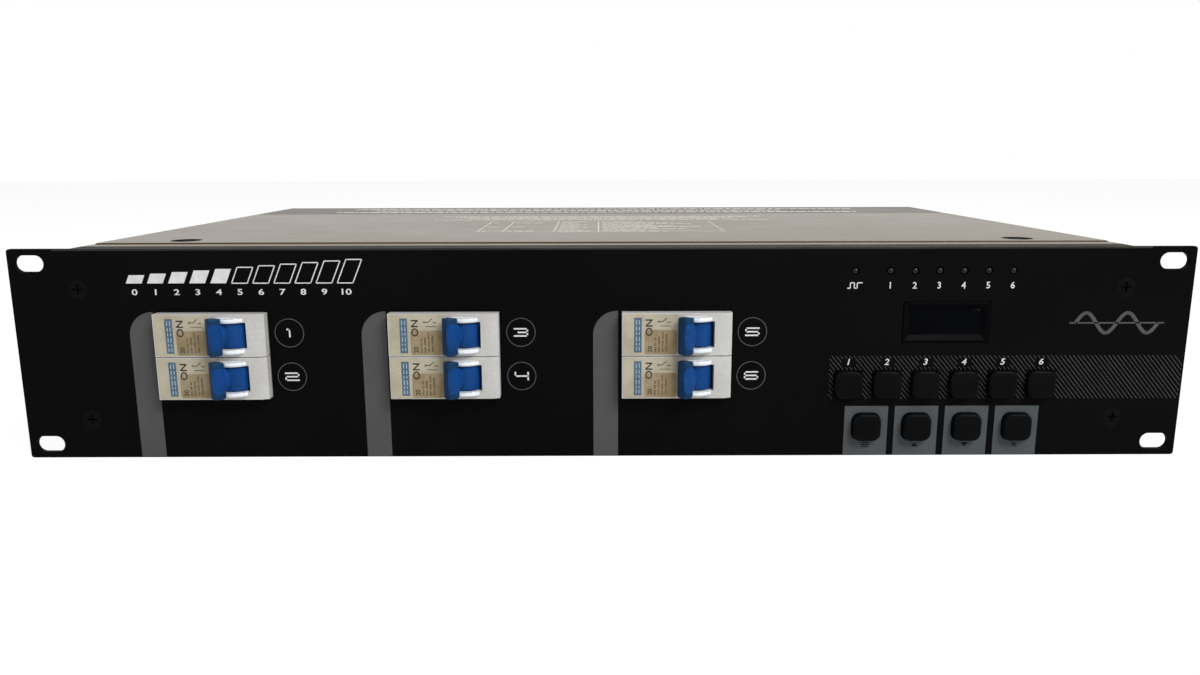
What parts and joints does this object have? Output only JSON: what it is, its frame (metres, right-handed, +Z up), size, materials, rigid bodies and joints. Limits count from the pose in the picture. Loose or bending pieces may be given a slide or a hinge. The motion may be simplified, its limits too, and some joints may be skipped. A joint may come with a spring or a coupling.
{
  "type": "dimmer pack",
  "caption": "Rack-mounted stage dimmer pack: black front panel with circuit breakers, lamps, display window and push buttons, sheet-metal case, rear mains outlets, data sockets and gland.",
  "frame": {"origin": "middle of the underside of the whole unit's box, levers and gland included", "axes": "+X to the right of someone facing the front panel, +Y from the front panel to the rear, +Z up"},
  "size_m": [0.4826, 0.3196, 0.0881],
  "materials": {
    "panel_paint": "satin black powder coat with a fine texture",
    "cover_paint": "satin warm black powder coat",
    "zinc_steel": "zinc plated",
    "breaker_plastic": "moulded, off-white",
    "lever_plastic": "moulded, blue, slightly glossy",
    "button_plastic": "moulded, black",
    "smoked_window": "smoked, glossy",
    "lamp_plastic": "clear, unlit",
    "circuit_board": "green lacquer",
    "dark_moulding": "moulded, black",
    "nickel_shell": "nickel plated",
    "heat_sink_metal": "extruded",
    "copper_winding": "enamelled copper wire",
    "screw_steel": "black oxide"
  },
  "bodies": {
    "chassis": {"front_panel": "panel_paint", "chassis_tray": "cover_paint", "top_cover": "cover_paint", "terminal_cover": "cover_paint", "rear_panel": "cover_paint", "rail_frame": "zinc_steel", "control_board": "circuit_board", "power_board": "circuit_board", "heat_sink": "heat_sink_metal", "display_window": "smoked_window", "panel_screw_1": "screw_steel", "panel_screw_2": "screw_steel", "panel_screw_3": "screw_steel", "panel_screw_4": "screw_steel", "breaker_1": "breaker_plastic", "breaker_2": "breaker_plastic", "breaker_3": "breaker_plastic", "breaker_4": "breaker_plastic", "breaker_5": "breaker_plastic", "breaker_6": "breaker_plastic", "signal_lamp": "lamp_plastic", "channel_lamp_1": "lamp_plastic", "channel_lamp_2": "lamp_plastic", "channel_lamp_3": "lamp_plastic", "channel_lamp_4": "lamp_plastic", "channel_lamp_5": "lamp_plastic", "channel_lamp_6": "lamp_plastic", "choke_1": "copper_winding", "choke_2": "copper_winding", "choke_3": "copper_winding", "choke_4": "copper_winding", "choke_5": "copper_winding", "choke_6": "copper_winding", "fan_frame": "dark_moulding", "outlet_1": "dark_moulding", "outlet_2": "dark_moulding", "outlet_3": "dark_moulding", "outlet_4": "dark_moulding", "outlet_5": "dark_moulding", "outlet_6": "dark_moulding", "data_input_socket": "nickel_shell", "data_output_socket": "nickel_shell", "mains_gland": "dark_moulding"},
    "lever_1": {"breaker_lever_1": "lever_plastic"},
    "lever_2": {"breaker_lever_2": "lever_plastic"},
    "lever_3": {"breaker_lever_3": "lever_plastic"},
    "lever_4": {"breaker_lever_4": "lever_plastic"},
    "lever_5": {"breaker_lever_5": "lever_plastic"},
    "lever_6": {"breaker_lever_6": "lever_plastic"},
    "channel_button_1": {"channel_button_1": "button_plastic"},
    "channel_button_2": {"channel_button_2": "button_plastic"},
    "channel_button_3": {"channel_button_3": "button_plastic"},
    "channel_button_4": {"channel_button_4": "button_plastic"},
    "channel_button_5": {"channel_button_5": "button_plastic"},
    "channel_button_6": {"channel_button_6": "button_plastic"},
    "menu_button": {"menu_button": "button_plastic"},
    "up_button": {"up_button": "button_plastic"},
    "down_button": {"down_button": "button_plastic"},
    "escape_button": {"escape_button": "button_plastic"},
    "rotor": {"fan_rotor": "dark_moulding"}
  },
  "joints": [
    {"name": "lever_1_switch", "type": "hinge", "parent": "chassis", "child": "lever_1", "pos_m": [-0.152, -0.14862, 0.05305], "axis": [0, 0, 1], "range_deg": [0, 54]},
    {"name": "lever_2_switch", "type": "hinge", "parent": "chassis", "child": "lever_2", "pos_m": [-0.152, -0.14862, 0.03505], "axis": [0, 0, 1], "range_deg": [0, 54]},
    {"name": "lever_3_switch", "type": "hinge", "parent": "chassis", "child": "lever_3", "pos_m": [-0.0567, -0.14862, 0.05305], "axis": [0, 0, 1], "range_deg": [0, 54]},
    {"name": "lever_4_switch", "type": "hinge", "parent": "chassis", "child": "lever_4", "pos_m": [-0.0567, -0.14862, 0.03505], "axis": [0, 0, 1], "range_deg": [0, 54]},
    {"name": "lever_5_switch", "type": "hinge", "parent": "chassis", "child": "lever_5", "pos_m": [0.0386, -0.14862, 0.05305], "axis": [0, 0, 1], "range_deg": [0, 54]},
    {"name": "lever_6_switch", "type": "hinge", "parent": "chassis", "child": "lever_6", "pos_m": [0.0386, -0.14862, 0.03505], "axis": [0, 0, 1], "range_deg": [0, 54]},
    {"name": "channel_1_press", "type": "slide", "parent": "chassis", "child": "channel_button_1", "axis": [0, 1, 0], "range_m": [0, 0.0012], "stiffness_N_per_m": 400, "springref_m": -0.001},
    {"name": "channel_2_press", "type": "slide", "parent": "chassis", "child": "channel_button_2", "axis": [0, 1, 0], "range_m": [0, 0.0012], "stiffness_N_per_m": 400, "springref_m": -0.001},
    {"name": "channel_3_press", "type": "slide", "parent": "chassis", "child": "channel_button_3", "axis": [0, 1, 0], "range_m": [0, 0.0012], "stiffness_N_per_m": 400, "springref_m": -0.001},
    {"name": "channel_4_press", "type": "slide", "parent": "chassis", "child": "channel_button_4", "axis": [0, 1, 0], "range_m": [0, 0.0012], "stiffness_N_per_m": 400, "springref_m": -0.001},
    {"name": "channel_5_press", "type": "slide", "parent": "chassis", "child": "channel_button_5", "axis": [0, 1, 0], "range_m": [0, 0.0012], "stiffness_N_per_m": 400, "springref_m": -0.001},
    {"name": "channel_6_press", "type": "slide", "parent": "chassis", "child": "channel_button_6", "axis": [0, 1, 0], "range_m": [0, 0.0012], "stiffness_N_per_m": 400, "springref_m": -0.001},
    {"name": "menu_press", "type": "slide", "parent": "chassis", "child": "menu_button", "axis": [0, 1, 0], "range_m": [0, 0.0012], "stiffness_N_per_m": 400, "springref_m": -0.001},
    {"name": "up_press", "type": "slide", "parent": "chassis", "child": "up_button", "axis": [0, 1, 0], "range_m": [0, 0.0012], "stiffness_N_per_m": 400, "springref_m": -0.001},
    {"name": "down_press", "type": "slide", "parent": "chassis", "child": "down_button", "axis": [0, 1, 0], "range_m": [0, 0.0012], "stiffness_N_per_m": 400, "springref_m": -0.001},
    {"name": "escape_press", "type": "slide", "parent": "chassis", "child": "escape_button", "axis": [0, 1, 0], "range_m": [0, 0.0012], "stiffness_N_per_m": 400, "springref_m": -0.001},
    {"name": "rotor_spin", "type": "hinge", "parent": "chassis", "child": "rotor", "pos_m": [0.2045, 0.00048, 0.0418], "axis": [1, 0, 0], "continuous": true}
  ]
}
